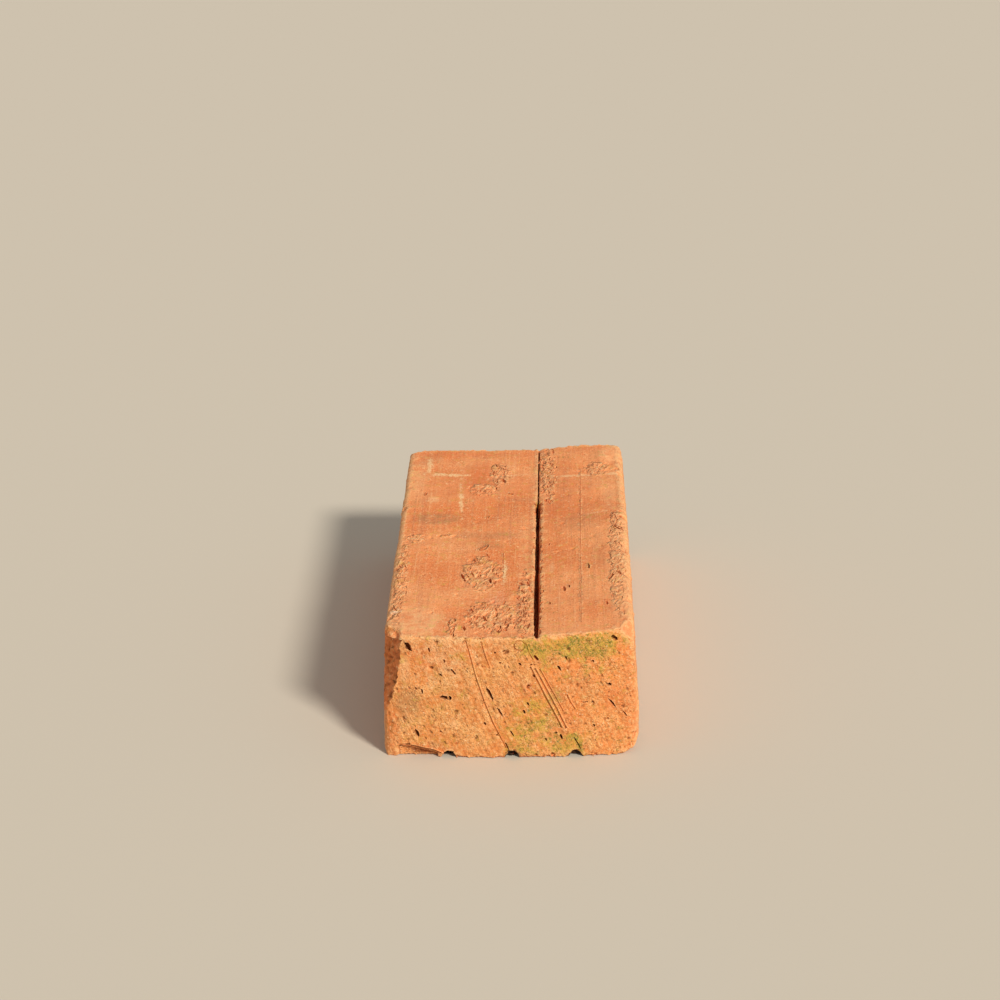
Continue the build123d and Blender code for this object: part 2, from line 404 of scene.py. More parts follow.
roughen("slump", 34, 1.4)
roughen("lumps", 9, 0.6)
roughen("crumbling", 2.8, 1.9, "arris", middle=0.6)
roughen("sand", 1.2, 0.8, "cut_end")
roughen("drag", 1.2, 0.4, "cut_end", stretch=(1, 1, 12), turn=(0, WIRE_SLANT, 0))
roughen("slide", 2.0, 0.25, "slid", stretch=(1, 30, 1))
roughen("grit", 1.6, 0.35, "slid")
roughen("tears", 1.3, 0.9, "torn", stretch=(1, 2.4, 1), turn=(0, 0, radians(-16)), middle=0.56)
brick.vertex_groups.clear()


def thin_out(piece, wanted, plain=None):
    """Thins a mesh to a number of triangles, first where it is plain."""
    piece.data.calc_loop_triangles()
    share = wanted / len(piece.data.loop_triangles)
    if share < 1 and plain is not None:
        weigh(piece, "plain", plain)
        finish_with(piece, "DECIMATE", ratio=share, vertex_group="plain", vertex_group_factor=1.0)
    elif share < 1:
        finish_with(piece, "DECIMATE", ratio=share)
    piece.vertex_groups.clear()


def mend(piece):
    """Takes out the few corners where thinning pinched or opened a mesh, and closes the holes."""
    only(piece)
    bpy.ops.object.mode_set(mode="EDIT")
    bpy.ops.mesh.select_mode(type="VERT")
    for attempt in range(12):
        bpy.ops.mesh.select_all(action="DESELECT")
        bpy.ops.mesh.select_non_manifold()
        piece.update_from_editmode()
        if piece.data.total_vert_sel == 0:
            break
        if attempt > 0:
            bpy.ops.mesh.select_more()
        bpy.ops.mesh.delete(type="VERT")
        bpy.ops.mesh.delete_loose()
        bpy.ops.mesh.select_all(action="SELECT")
        bpy.ops.mesh.fill_holes(sides=0)
        bpy.ops.mesh.quads_convert_to_tris()
    bpy.ops.object.mode_set(mode="OBJECT")


# The surface is thinned to a workable mesh: first on the underside, then on the back end and the sides,
# and then wherever it is flat. How plain a face is runs from 0 to 1, and the plainest go first.
SHOWN_TRIANGLES = 480_000  # with only the plain faces thinned
PIECE_TRIANGLES = 120_000  # before the crisp cuts below
BACK_PLAINNESS = 0.97
SIDE_PLAINNESS = 0.9
facing = vertex_places(brick, "normal")
plainness = np.maximum(rise(-facing[:, 2], 0.5, 0.8), BACK_PLAINNESS * rise(facing[:, 1], 0.5, 0.8))
plainness = np.maximum(plainness, SIDE_PLAINNESS * rise(np.abs(facing[:, 0]), 0.6, 0.9))
thin_out(brick, SHOWN_TRIANGLES, plainness)
thin_out(brick, PIECE_TRIANGLES)
mend(brick)
surface = BVHTree.FromObject(brick, bpy.context.evaluated_depsgraph_get())

# The wires cut the front end from upper left to lower right. Drawn through with grit, they left long
# narrow grooves in it, each with a raised edge. Radius, then points across and up from the floor.
WIRE_GROOVES = [
    (0.34, [(-19.8, 55.5), (-15.9, 39.4), (-11.7, 26.0), (-8.3, 16.7), (-2.8, 5.0)]),
    (0.32, [(-13.6, 55.5), (-11.6, 48.0), (-9.6, 42.0)]),
    (0.44, [(7.4, 42.6), (14.2, 28.0), (20.8, 14.2)]),
    (0.40, [(9.4, 42.0), (16.0, 28.6), (22.8, 13.8)]),
    (0.32, [(11.4, 41.6), (17.6, 29.4), (21.4, 21.6)]),
    (0.38, [(23.0, 29.4), (24.2, 26.0), (26.4, 22.6)]),
    (0.30, [(5.4, 53.6), (6.8, 49.0), (8.6, 46.0)]),
    (0.5, [(-46.4, 5.4), (-43.6, 5.9), (-38.0, 4.6), (-34.0, 3.9), (-30.2, 2.2)]),
]
for radius, points in WIRE_GROOVES:
    groove("front", 1.1 * radius, [(across + 1.8 * radius, up) for across, up in points], 0.1)
combine("UNION")
for radius, points in WIRE_GROOVES:
    groove("front", radius, points)

# They also pulled stones and air out of it, and near its top one stone turned in its bed and left a
# ring. Across and up from the floor in millimetres, then length, width, depth and turn.
FRONT_PORES = [
    (-43.8, 51.2, 5.0, 2.4, 2.6, -62),
    (-34.9, 50.0, 2.6, 0.9, 1.2, -75),
    (-28.6, 45.1, 2.0, 0.8, 1.0, -80),
    (-30.2, 38.7, 2.2, 1.3, 1.6, -30),
    (-24.9, 40.2, 3.6, 1.2, 2.0, -55),
    (-38.0, 30.9, 2.6, 0.9, 1.6, -80),
    (-40.6, 32.2, 1.6, 0.9, 1.0, -50),
    (-28.6, 28.2, 4.2, 1.9, 2.0, -10),
    (-26.4, 28.0, 2.4, 1.8, 3.0, -70),
    (-9.4, 30.4, 7.8, 1.6, 3.2, -64),
    (-5.2, 44.5, 1.4, 1.0, 1.4, 0),
    (-7.3, 49.1, 1.2, 0.9, 1.2, 0),
    (-3.7, 49.6, 1.2, 0.9, 1.2, 0),
    (-11.5, 16.2, 1.8, 1.1, 1.6, -70),
    (-5.2, 21.8, 5.0, 1.0, 1.6, -62),
    (-40.4, 11.2, 4.4, 1.9, 2.2, -66),
    (-30.2, 12.1, 1.7, 1.0, 1.3, -20),
    (-6.4, 11.0, 1.6, 1.1, 1.3, 0),
    (9.9, 46.7, 3.2, 1.8, 2.3, -58),
    (22.5, 46.4, 2.1, 1.0, 1.8, -72),
    (19.6, 41.8, 3.4, 1.1, 2.0, -62),
    (33.8, 44.5, 1.6, 1.0, 1.4, -40),
    (42.6, 54.6, 3.6, 2.4, 2.0, -50),
    (40.7, 33.5, 2.6, 1.4, 2.0, -20),
    (42.2, 24.7, 5.8, 1.1, 2.6, -55),
    (47.7, 19.3, 3.4, 0.6, 1.2, -52),
    (30.7, 25.6, 2.6, 0.7, 1.2, 5),
    (6.6, 25.5, 2.0, 1.1, 1.6, -60),
    (5.0, 21.7, 2.2, 1.2, 1.4, -70),
    (-0.1, 11.5, 3.4, 0.9, 1.4, -60),
    (20.7, 9.6, 2.9, 1.4, 2.2, -75),
    (18.5, 11.6, 1.4, 1.0, 1.2, 0),
    (34.6, 14.7, 1.7, 1.1, 1.6, -60),
    (14.3, 8.4, 1.7, 1.0, 1.3, -60),
    (40.5, 17.4, 1.4, 0.8, 1.2, 0),
    (3.2, 44.0, 1.7, 1.1, 1.4, -40),
    (7.8, 43.5, 1.5, 0.9, 1.2, 20),
    (8.9, 38.4, 2.0, 1.1, 1.4, -60),
    (27.7, 6.6, 8.6, 0.8, 1.6, -64),
    (-2.2, 5.6, 4.6, 0.8, 1.3, -66),
]
for across, up, length, width, depth, turn in FRONT_PORES:
    lump("front", across, up, length, width, depth, turn, 0.2 * depth, round_lumps)

RING_STONE = (2.8, 52.3)  # across and up
groove("front", 0.8, [(across, 0.3) for across in range(-49, 50, 7)])
cutters[-1].data.transform(Matrix.Translation((0, 0.3 * MM, -0.5 * MM)))  # the foot stands on coarse grains
bpy.ops.mesh.primitive_torus_add(
    major_segments=20,
    minor_segments=8,
    major_radius=2.2 * MM,
    minor_radius=0.5 * MM,
    location=skin_at("front", *RING_STONE),
    rotation=(radians(90), 0, 0),
)
cutters.append(bpy.context.object)

# The top bed's own pores lie along the brick. The die's long scratch runs down the strip, and short
# cracks cross it where it dried. Across and along, then length, width, depth and turn.
TOP_PORES = [
    (-43.7, 52.1, 5.0, 1.4, 1.6, 80),
    (-13.4, 23.0, 4.0, 1.3, 1.1, 70),
    (-32.1, 0.3, 5.0, 1.2, 1.3, 20),
    (-3.4, 52.8, 3.6, 2.4, 1.2, 20),
    (-14.3, -15.8, 9.0, 3.0, 2.6, 60),
    (-9.6, 84.0, 9.0, 1.7, 1.6, 70),
    (-7.0, 70.0, 7.0, 2.4, 1.5, 110),
    (42.3, -52.5, 7.0, 2.4, 2.4, 70),
    (45.9, -48.6, 5.0, 1.7, 2.0, 110),
    (46.2, 3.9, 7.0, 1.1, 1.4, 130),
    (44.2, 21.1, 8.0, 0.9, 1.2, 70),
    (32.8, -39.6, 7.0, 1.0, 1.6, 90),
    (15.1, -10.7, 3.0, 1.2, 1.4, 80),
    (15.6, -77.9, 2.6, 1.0, 1.3, 90),
    (21.5, -62.5, 6.0, 2.4, 1.2, 100),
    (24.0, -60.0, 3.6, 1.0, 1.6, 90),
    (40.0, -82.0, 4.0, 1.2, 1.0, 100),
    (-10.6, -52.0, 7.0, 1.5, 2.2, 95),
    (-22.8, -48.0, 7.5, 1.4, 2.0, 102),
    (-12.0, -92.0, 5.5, 1.4, 2.0, 110),
    (-18.5, -88.0, 7.0, 1.3, 2.0, 66),
    (-20.6, -104.0, 5.0, 1.5, 1.8, 100),
    (-6.0, -104.0, 8.0, 1.3, 1.7, 76),
    (-26.2, -99.0, 6.0, 1.3, 1.8, 70),
    (13.6, 103.0, 4.4, 1.8, 1.4, 30),
]
for across, along, length, width, depth, turn in TOP_PORES:
    lump("top", across, along, length, width, depth, turn, 0.2 * depth, round_lumps)
DIE_SCRATCHES = [  # radius, then points across and along
    (0.24, [(30.0, 84.0), (29.9, 62.0), (29.6, 30.0), (29.3, 0.0), (29.2, -30.0), (29.0, -60.0), (28.8, -100.0)]),
    (0.25, [(16.3, 113.0), (17.3, 106.0)]),
    (0.28, [(44.6, 24.0), (46.4, 13.0), (44.4, 4.0)]),
    (0.24, [(39.0, 80.0), (42.0, 80.6), (44.4, 82.4)]),
    (0.24, [(37.6, 86.4), (40.6, 87.0), (43.8, 90.2)]),
    (0.24, [(40.4, 71.0), (43.0, 71.8)]),
    (0.26, [(-5.4, -20.0), (-5.0, -44.0)]),
]
for radius, points in DIE_SCRATCHES:
    groove("top", radius, points)
tear(0.7, 1.25, 0.5)
crumble_slit(0.8)

# Below the crest the front left upright arris split off along a steep, dull facet. Its front edge is
# ragged: up from the floor and across, in millimetres.
SPLIT_EDGE = [
    (20, -54.5),
    (24, -52.0),
    (27, -50.8),
    (31, -50.0),
    (36, -48.6),
    (42, -48.0),
    (46, -47.0),
    (50, -47.3),
    (54, -46.7),
]
SPLIT_FOOT = SPLIT_EDGE[0][0]
SPLIT_HEIGHT = 34.4  # of the cutter, which reaches a little past the top of the edge
SPLIT_LENGTH = 34  # how far back the cutter reaches
SPLIT_RUN = 0.56  # how far the facet runs outwards for each millimetre back
SPLIT_SINK = 0.34  # how far its top sinks for each millimetre back
SPLIT_START = -116.5  # the cutter's front, clear of the front end
FACET_START = 4  # how far behind that the facet's front edge lies
CLEAR_OF_SIDE = -80  # the cutter's outer face
bpy.ops.mesh.primitive_cube_add(size=1)
split = bpy.context.object
bpy.ops.object.mode_set(mode="EDIT")
bpy.ops.mesh.subdivide(number_cuts=23)
bpy.ops.transform.vertex_random(offset=0.012, uniform=1, normal=0, seed=5)
bpy.ops.object.mode_set(mode="OBJECT")
for corner in split.data.vertices:
    share_across, share_back, share_up = corner.co + Vector((0.5, 0.5, 0.5))
    back = SPLIT_LENGTH * share_back
    up = SPLIT_FOOT + (SPLIT_HEIGHT - SPLIT_SINK * max(back - FACET_START, 0)) * share_up
    edge = np.interp(up, *zip(*SPLIT_EDGE)) + 0.35 * sin(2.1 * up) + 0.25 * sin(0.9 * back + up)
    edge = edge - SPLIT_RUN * (back - FACET_START)
    across = CLEAR_OF_SIDE + (edge - CLEAR_OF_SIDE) * share_across
    up += 0.45 * min(max(-50 - across, 0), 5) * share_up  # the crest thins towards its corner
    corner.co = (across * MM, (back + SPLIT_START) * MM, up * MM)
cutters.append(split)

# Towards the back end the wet clay closed up over the knife's cut, but it never healed. The cut shows
# there as a hair-thin, uneven line.
SLIT_TILT = radians(5)
PINCHED = (0.75, 68.0, 20.0)  # width, length and height of the cut, half of it in the clay
PINCHED_MIDDLE = (SLIT_OFFSET, 77, 56)
bpy.ops.mesh.primitive_cube_add(size=MM)
pinched_slit = bpy.context.object
bpy.ops.object.mode_set(mode="EDIT")
bpy.ops.mesh.select_all(action="SELECT")
bpy.ops.transform.resize(value=PINCHED)
bpy.ops.mesh.subdivide(number_cuts=15)
bpy.ops.transform.vertex_random(offset=0.12 * MM, uniform=1, normal=0, seed=3)
bpy.ops.object.mode_set(mode="OBJECT")
into_clay = Matrix.Translation([place * MM for place in PINCHED_MIDDLE])
pinched_slit.data.transform(into_clay @ Matrix.Rotation(SLIT_TILT, 4, "Y"))
cutters.append(pinched_slit)
combine("DIFFERENCE", at_once=40)  # the solver hangs on larger groups that overlap
for shape in round_lumps + rough_lumps:
    bpy.data.objects.remove(shape)
places = vertex_places(brick)
places[:, 2] = np.maximum(places[:, 2], 0)  # it lies on the ground, so nothing of it is lower
brick.data.vertices.foreach_set("co", places.ravel())
brick.data.update()
only(brick)
bpy.ops.object.shade_smooth_by_angle(angle=radians(50))
brick.data.materials.clear()

# Fired clay is rough and matt, and its colour follows its making and its wear; a few marks below carry painted
# highlights and painted shade instead. These marks are found on the surface and kept with it, a number from 0 to 1 at
# each point. Middle and reach on the front end, across and up, or on the top bed, across and along, then turn and
# strength.
GROOVE_PITCH = 27.0  # between the keying grooves, whose middle one lies in the middle
MARKS = {
    "green": ("front", [
        (30.0, 51.0, 18.0, 7.0, 6, 1.0),
        (10.0, 51.0, 10.0, 6.0, 0, 0.8),
        (14.0, 48.0, 8.0, 6.0, -60, 0.5),
        (36.0, 44.0, 8.0, 6.0, 0, 0.45),
        (8.0, 16.0, 12.0, 16.0, -30, 0.62),
        (20.0, 7.0, 12.0, 6.0, 0, 0.6),
        (4.0, 4.0, 9.0, 4.0, 0, 0.7),
        (-23.0, 47.5, 4.0, 2.6, 0, 0.6),
        (28.0, 6.5, 1.6, 6.0, 24, 0.95),
        (33.0, 10.0, 5.0, 6.0, 0, 0.3),
        (-40.0, 14.0, 3.0, 10.0, 20, 0.22),
    ]),
    "red": ("front", [
        (50.5, 28.0, 3.6, 30.0, 0, 0.5),
        (-30.0, 48.0, 15.0, 9.0, 0, 0.6),
        (45.0, 27.0, 8.0, 7.0, -40, 0.5),
        (7.0, 33.0, 3.2, 2.6, 0, 0.8),
        (24.0, 17.0, 6.0, 5.0, -30, 0.4),
        (-35.0, 3.0, 8.0, 2.6, -12, 0.6),
        (-50.0, 10.0, 3.0, 11.0, 0, 0.6),
        (-6.0, 51.0, 7.0, 5.0, 0, 0.4),
        (0.0, 34.0, 6.0, 6.0, 0, 0.3),
    ]),
    "pale": ("front", [
        (-45.5, 40.5, 2.6, 6.0, 0, 0.8),
        (-25.0, 16.0, 3.0, 2.2, 0, 0.6),
        (-12.0, 27.0, 3.0, 6.0, 20, 0.4),
        (16.0, 12.0, 5.0, 7.0, 20, 0.3),
    ]),
    "grey": ("front", [
        (-44.0, 24.0, 6.0, 8.0, 0, 0.6),
        (18.0, 29.0, 4.0, 6.0, 20, 0.4),
        (28.0, 34.0, 6.0, 5.0, 0, 0.3),
        (-34.0, 6.0, 4.0, 1.6, -12, 0.6),
    ]),
    "bared": ("front", [(-53.5, 12.0, 3.6, 13.0, 0, 0.6)]),
    "chipped": ("front", [(-39.5, 3.2, 8.0, 2.4, -12, 1.0)]),
}
TOP_MARKS = {
    "red": [
        (-18.0, 70.0, 9.0, 26.0, 0, 0.9),
        (-34.0, 62.0, 10.0, 18.0, 0, 0.45),
        (-30.0, 108.0, 24.0, 7.0, 0, 0.45),
        (1.0, 62.0, 7.0, 20.0, 0, 0.5),
        (-46.0, -94.0, 5.0, 5.0, 0, 0.7),
        (26.0, 48.0, 12.0, 40.0, 0, 0.4),
        (17.0, 30.0, 5.0, 8.0, 0, 0.55),
        (47.5, -104.0, 3.0, 6.0, 0, 0.5),
    ],
    "grey": [
        (-37.0, 20.0, 12.0, 7.0, 2, 0.75),
        (-12.0, 0.0, 17.0, 5.0, -4, 0.45),
        (-42.0, 100.0, 5.0, 10.0, 0, 0.25),
        (2.0, 46.0, 8.0, 2.6, 0, 0.5),
        (-12.0, -12.0, 5.0, 7.0, 60, 0.5),
        (37.0, 92.0, 4.0, 18.0, 0, 0.3),
        (30.0, 14.0, 12.0, 12.0, 0, 0.3),
        (38.0, -24.0, 3.0, 24.0, 0, 0.3),
        (42.0, -86.0, 3.0, 4.0, 0, 0.4),
        (-49.0, -72.0, 3.0, 9.0, 0, 0.3),
        (-50.5, -104.0, 4.0, 8.0, 0, 0.6),
        (-50.0, -89.5, 3.6, 1.2, 0, 0.9),
    ],
    "pale": [
        (-40.0, -98.0, 12.0, 15.0, 0, 0.65),
        (-48.0, 78.0, 4.0, 34.0, 0, 0.4),
        (46.5, -44.0, 5.5, 62.0, 0, 1.0),
        (45.0, 100.0, 6.0, 12.0, 0, 0.55),
        (44.0, 40.0, 4.0, 24.0, 0, 0.35),
        (-6.0, -92.0, 12.0, 18.0, 0, 0.4),
        (4.0, -40.0, 3.0, 60.0, 0, 0.35),
        (-40.0, 44.0, 3.0, 3.6, 0, 0.9),
        (-18.0, -50.0, 8.0, 20.0, 0, 0.25),
    ],
    "green": [
        (-10.0, -9.0, 2.6, 4.0, 30, 0.4),
        (8.0, -113.0, 14.0, 2.4, 0, 0.5),
        (38.0, -110.0, 10.0, 2.0, 0, 0.3),
    ],
}


def keep_mark(name, values):
    """Stores a number per vertex with the mesh, for the material to read."""
    brick.data.attributes.new(name, "FLOAT", "POINT").data.foreach_set("value", values)


places, normals, skin = skin_facts(brick)
for name, (side, spots) in MARKS.items():
    amount = dabs(places, skin, side, spots) + dabs(places, skin, "top", TOP_MARKS.get(name, []))
    keep_mark(name, amount)
near, wide = standing_out(brick, places, normals, 4), standing_out(brick, places, normals, 16)
detailed = 1 - np.maximum(rise(skin[:, 1], 0.5, 0.8), rise(-skin[:, 2], 0.5, 0.8))  # 0 where thinned most
keep_mark("worn", rise(wide, 0.1, 0.6) * (0.25 + 0.75 * detailed))
# The crest mark is how far a point stands out of the surface around it, used for a painted highlight.
keep_mark("crest", rise(near, 0.02, 0.22) * (0.2 + 0.8 * detailed))
x, y, z = places.T / MM
in_slit = rise(np.abs(skin[:, 0]), 0.5, 0.8) * (np.abs(x - SLIT_OFFSET) < 5)
on_cut = rise(np.abs(skin[:, 1]), 0.5, 0.8)
# Painted shade: points sunk below the surface around them, and the slit's walls, are marked to be darkened.
sunken_shade = rise(-near, 0.04, 0.4) * (0.4 + 0.6 * on_cut) * (0.15 + 0.85 * detailed)
keep_mark("hollow_shade", np.maximum(sunken_shade, 0.1 * in_slit))
keep_mark("cut_end", on_cut)
# The plugs in the keying grooves' mouths are marked to be coloured dark, as painted shade.
from_groove = np.abs((x + GROOVE_PITCH / 2) % GROOVE_PITCH - GROOVE_PITCH / 2)
in_mouth = (from_groove < 3.2) & (np.abs(x) < 40) & (y < -94) & (z < 3.4)
keep_mark("groove_mouth_shade", in_mouth * (1 - on_cut))
in_facet = (x < np.interp(z, *zip(*SPLIT_EDGE)) + 0.4) & (y < -96) & (normals[:, 0] < -0.55)
keep_mark("split_off", in_facet & (z > SPLIT_EDGE[0][0]) & (z < SPLIT_EDGE[-1][0]))
patches = [(x, y, reach_x, reach_y, 0, 1.0) for x, y, reach_x, reach_y, *rest in TORN_PATCHES]
keep_mark("torn", dabs(places, skin, "top", patches))

clay = bpy.data.materials.new("fired_clay")
clay.use_nodes = True
nodes, links = clay.node_tree.nodes, clay.node_tree.links
here = nodes.new("ShaderNodeTexCoord").outputs["Object"]


def feed(value, socket):
    """Gives a socket another node's output, or a plain value."""
    if isinstance(value, bpy.types.NodeSocket):
        links.new(value, socket)
    else:
        socket.default_value = value


def paint(red, green, blue):
    """Colour of the surface, from the red, green and blue that the eye sees, 0 to 255."""
    seen = [channel / 255 for channel in (red, green, blue)]
    return (*[c / 12.92 if c < 0.04045 else ((c + 0.055) / 1.055) ** 2.4 for c in seen], 1)


def maths(operation, first, second=0.0):
    """One sum, product or the like of two values."""
    made = nodes.new("ShaderNodeMath")
    made.operation = operation
    feed(first, made.inputs[0])
    feed(second, made.inputs[1])
    return made.outputs[0]


def within(value, low, high, start=0.0, end=1.0):
    """Runs smoothly from start to end while a value goes from low to high."""
    made = nodes.new("ShaderNodeMapRange")
    made.interpolation_type = "SMOOTHSTEP"
    for name, number in [("Value", value), ("From Min", low), ("From Max", high), ("To Min", start), ("To Max", end)]:
        feed(number, made.inputs[name])
    return made.outputs["Result"]


def laid(size, stretch, turn, shift):
    """Coordinates that count grains of one size, stretched and turned, from a middle in millimetres."""
    made = nodes.new("ShaderNodeMapping")
    made.vector_type = "TEXTURE"
    feed(here, made.inputs["Vector"])
    feed([place * MM for place in shift], made.inputs["Location"])
    feed(turn, made.inputs["Rotation"])
    feed([size * MM * share for share in stretch], made.inputs["Scale"])
    return made.outputs["Vector"]


def cloud(size, detail=3.0, roughness=0.55, stretch=(1, 1, 1), turn=(0, 0, 0), shift=(0, 0, 0), swirl=0.0):
    """Cloudy pattern around one half, with lumps of a size in millimetres."""
    made = nodes.new("ShaderNodeTexNoise")
    feed(laid(size, stretch, turn, shift), made.inputs["Vector"])
    feed(1.0, made.inputs["Scale"])
    feed(detail, made.inputs["Detail"])
    feed(roughness, made.inputs["Roughness"])
    feed(swirl, made.inputs["Distortion"])
    return made.outputs["Fac"]


def grains(size, stretch=(1, 1, 1), turn=(0, 0, 0), shift=(0, 0, 0)):
    """Sand: the distance from each grain's middle, and a number of its own for each grain."""
    made = nodes.new("ShaderNodeTexVoronoi")
    feed(laid(size, stretch, turn, shift), made.inputs["Vector"])
    feed(1.0, made.inputs["Scale"])
    apart = nodes.new("ShaderNodeSeparateColor")
    feed(made.outputs["Color"], apart.inputs[0])
    return made.outputs["Distance"], apart.outputs[0]


def cover(under, over, amount):
    """Lays one colour over another."""
    made = nodes.new("ShaderNodeMix")
    made.data_type = "RGBA"
    feed(amount, made.inputs[0])
    feed(under, made.inputs[6])
    feed(over, made.inputs[7])
    return made.outputs[2]


def mark(name):
    """A number that was kept with the mesh."""
    made = nodes.new("ShaderNodeAttribute")
    made.attribute_name = name
    return made.outputs["Fac"]


def times(first, second):
    """One value times another."""
    return maths("MULTIPLY", first, second)


# Patterns in the clay, from the kiln's broad flashing down to its sand.
flashing = cloud(46, 2.0, shift=(13, 0, 4))
mottle = cloud(9, 4.0, 0.6)
blotch = cloud(4.2, 3.0, 0.55, shift=(31, 7, 3))
sand = cloud(1.15, 4.0, 0.65)
fine = cloud(0.62, 2.0, 0.5, shift=(5, 3, 1))
streaks = cloud(2.2, 3.0, 0.6, stretch=(1, 50, 1), turn=(0, 0, 0.006))
hairlines = cloud(0.8, 2.0, 0.5, stretch=(1, 80, 1), turn=(0, 0, -0.004), shift=(3, 0, 2))
drag = cloud(1.0, 3.0, 0.6, stretch=(1, 1, 9), turn=(0, WIRE_SLANT, 0))
grain_edge, grain_kind = grains(1.1)
cut_end, worn, crest, hollow_shade = mark("cut_end"), mark("worn"), mark("crest"), mark("hollow_shade")
patch = mark("torn")

# Where the clay slid through the die it fired pink and smooth, with fine lines along the brick.
slid_colour = cover(paint(236, 132, 70), paint(250, 160, 98), within(flashing, 0.36, 0.64))
slid_colour = cover(slid_colour, paint(236, 128, 68), within(mottle, 0.5, 0.72, 0.0, 0.55))
slid_colour = cover(slid_colour, paint(202, 122, 80), within(streaks, 0.5, 0.76, 0.0, 0.6))
slid_colour = cover(slid_colour, paint(255, 180, 120), within(hairlines, 0.54, 0.78, 0.0, 0.6))
slid_colour = cover(slid_colour, paint(190, 106, 62), within(sand, 0.56, 0.74, 0.0, 0.45))
slid_colour = cover(slid_colour, paint(255, 192, 134), within(fine, 0.56, 0.66, 0.0, 0.6))
slid_colour = cover(slid_colour, paint(176, 96, 56), within(fine, 0.44, 0.34, 0.0, 0.5))

# Where the wires cut it, it is sandy and more yellow.
cut_colour = cover(paint(230, 142, 74), paint(244, 168, 98), within(mottle, 0.4, 0.6))
cut_colour = cover(cut_colour, paint(246, 142, 72), within(flashing, 0.46, 0.66, 0.0, 0.7))
cut_colour = cover(cut_colour, paint(206, 134, 78), within(blotch, 0.54, 0.68, 0.0, 0.45))
cut_colour = cover(cut_colour, paint(188, 110, 54), within(sand, 0.56, 0.7, 0.0, 0.4))
cut_colour = cover(cut_colour, paint(255, 196, 126), within(sand, 0.44, 0.3, 0.0, 0.45))
patchy = within(mottle, 0.38, 0.62, 0.25, 1.0)  # the finest grain shows in patches
cut_colour = cover(cut_colour, paint(140, 78, 34), times(within(fine, 0.54, 0.68, 0.0, 0.6), patchy))
cut_colour = cover(cut_colour, paint(255, 216, 150), times(within(fine, 0.46, 0.32, 0.0, 0.6), patchy))
cut_colour = cover(cut_colour, paint(196, 114, 54), within(drag, 0.54, 0.7, 0.0, 0.45))
cut_colour = cover(cut_colour, paint(255, 194, 122), within(drag, 0.44, 0.3, 0.0, 0.4))
# Small pits in the cut ends, sunk by the bump and darkened as painted shade.
pit_edge, pit_kind = grains(1.7, stretch=(1, 1, 1.8), turn=(0, WIRE_SLANT, 0), shift=(2, 9, 5))
pits = times(within(pit_edge, 0.34, 0.14), within(pit_kind, 0.15, 0.11))
cut_colour = cover(cut_colour, paint(128, 68, 30), times(pits, 0.65))
colour = cover(slid_colour, cut_colour, cut_end)

# Flashing, dust, wear and growth lie over both, with painted highlights on raised points and torn scales, and painted
# shade in the scales' troughs, the hollows, the slit and the groove mouths.
ragged = maths("ADD", times(blotch, 0.6), times(sand, 0.4))
colour = cover(colour, paint(226, 118, 62), times(mark("red"), within(ragged, 0.3, 0.62, 0.35, 1.0)))
colour = cover(colour, paint(172, 122, 82), times(mark("grey"), within(ragged, 0.32, 0.62, 0.2, 0.85)))
colour = cover(colour, paint(255, 194, 136), times(mark("pale"), within(ragged, 0.4, 0.6, 0.15, 0.95)))
colour = cover(colour, paint(246, 178, 118), times(worn, within(ragged, 0.38, 0.58, 0.1, 0.8)))
ruffled = within(maths("ADD", patch, times(maths("SUBTRACT", blotch, 0.5), 3.0)), 0.3, 1.0)
torn = times(ruffled, within(patch, 0.02, 0.3))  # a patch has no clear edge
scales = cloud(1.05, 3.0, 0.6, stretch=(1, 3.4, 1), turn=(0, 0, radians(-14)), shift=(4, 8, 2), swirl=0.3)
colour = cover(colour, paint(255, 164, 102), times(torn, 0.7))
# Painted highlight on the raised scales and painted shade in the troughs between them, following the scales' bump.
colour = cover(colour, paint(255, 208, 150), times(torn, within(scales, 0.52, 0.62, 0.0, 0.7)))
colour = cover(colour, paint(146, 72, 38), times(torn, within(scales, 0.44, 0.36, 0.0, 0.7)))
# Painted highlight on the points that stand out of the surface around them.
colour = cover(colour, paint(250, 192, 132), times(crest, within(fine, 0.35, 0.6, 0.15, 0.75)))
growth = within(maths("ADD", mark("green"), times(maths("SUBTRACT", ragged, 0.5), 5.0)), 0.1, 1.3)
colour = cover(colour, paint(206, 172, 66), times(growth, within(fine, 0.3, 0.6, 0.3, 0.85)))
film = cloud(3.4, 5.0, 0.75, shift=(9, 2, 8))
thick = within(maths("ADD", mark("green"), times(maths("SUBTRACT", film, 0.5), 6.0)), 0.5, 1.4)
colour = cover(colour, paint(124, 122, 48), times(thick, within(fine, 0.36, 0.6, 0.1, 0.9)))
bared = maths("MAXIMUM", mark("bared"), mark("split_off"))
colour = cover(colour, paint(232, 124, 58), times(bared, within(ragged, 0.36, 0.6, 0.4, 0.9)))
colour = cover(colour, paint(158, 88, 48), times(mark("chipped"), within(ragged, 0.4, 0.56, 0.35, 0.95)))
colour = cover(colour, paint(142, 96, 44), times(bared, within(film, 0.52, 0.66, 0.0, 0.6)))
# Painted shade: the plugs in the groove mouths are coloured near black-brown.
colour = cover(colour, paint(62, 40, 24), mark("groove_mouth_shade"))
flecks = times(within(grain_edge, 0.4, 0.2), within(grain_kind, 0.7, 0.66, 1.0, 0.0))
colour = cover(colour, paint(112, 140, 98), times(times(thick, flecks), 0.5))
# Painted shade in the hollows and the slit.
colour = cover(colour, paint(104, 54, 26), times(hollow_shade, 0.85))

